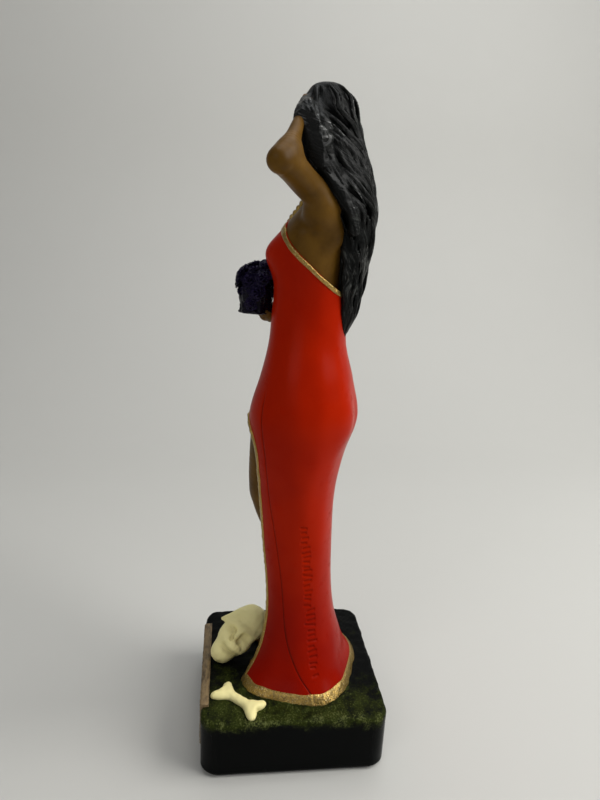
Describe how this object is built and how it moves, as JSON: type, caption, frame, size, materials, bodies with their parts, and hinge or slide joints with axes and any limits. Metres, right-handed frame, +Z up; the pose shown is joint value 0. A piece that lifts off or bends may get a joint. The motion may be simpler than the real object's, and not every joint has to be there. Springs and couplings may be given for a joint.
{
  "type": "statue of a woman",
  "caption": "Standing painted resin statue of a woman in a long strapless dress with a slit, an arm raised to her long hair, roses at her waist, on a square base with a skull and a bone.",
  "frame": {"origin": "centre of the square base's flat underside", "axes": "+Z up; -Y towards the front of the base, where the name plate is; +X towards the figure's left side. The figure itself is turned 20 degrees on the base, clockwise seen from above, so it faces between -Y and -X."},
  "size_m": [0.0931, 0.0866, 0.2976],
  "materials": {
    "dress_paint": "satin red lacquer over cast resin",
    "skin_paint": "satin brown paint",
    "hair_paint": "semi-gloss black paint, greyed on the high edges",
    "gold_paint": "old gold paint, brushed on by hand",
    "rose_paint": "semi-gloss purple-black paint",
    "bone_paint": "cream paint, yellowed in the hollows",
    "base_paint": "gloss black block with dry-brushed moss green on its uneven top",
    "plate_paint": "brown paint on a rough plate"
  },
  "bodies": {
    "root": {"statue": "dress_paint"}
  },
  "joints": []
}
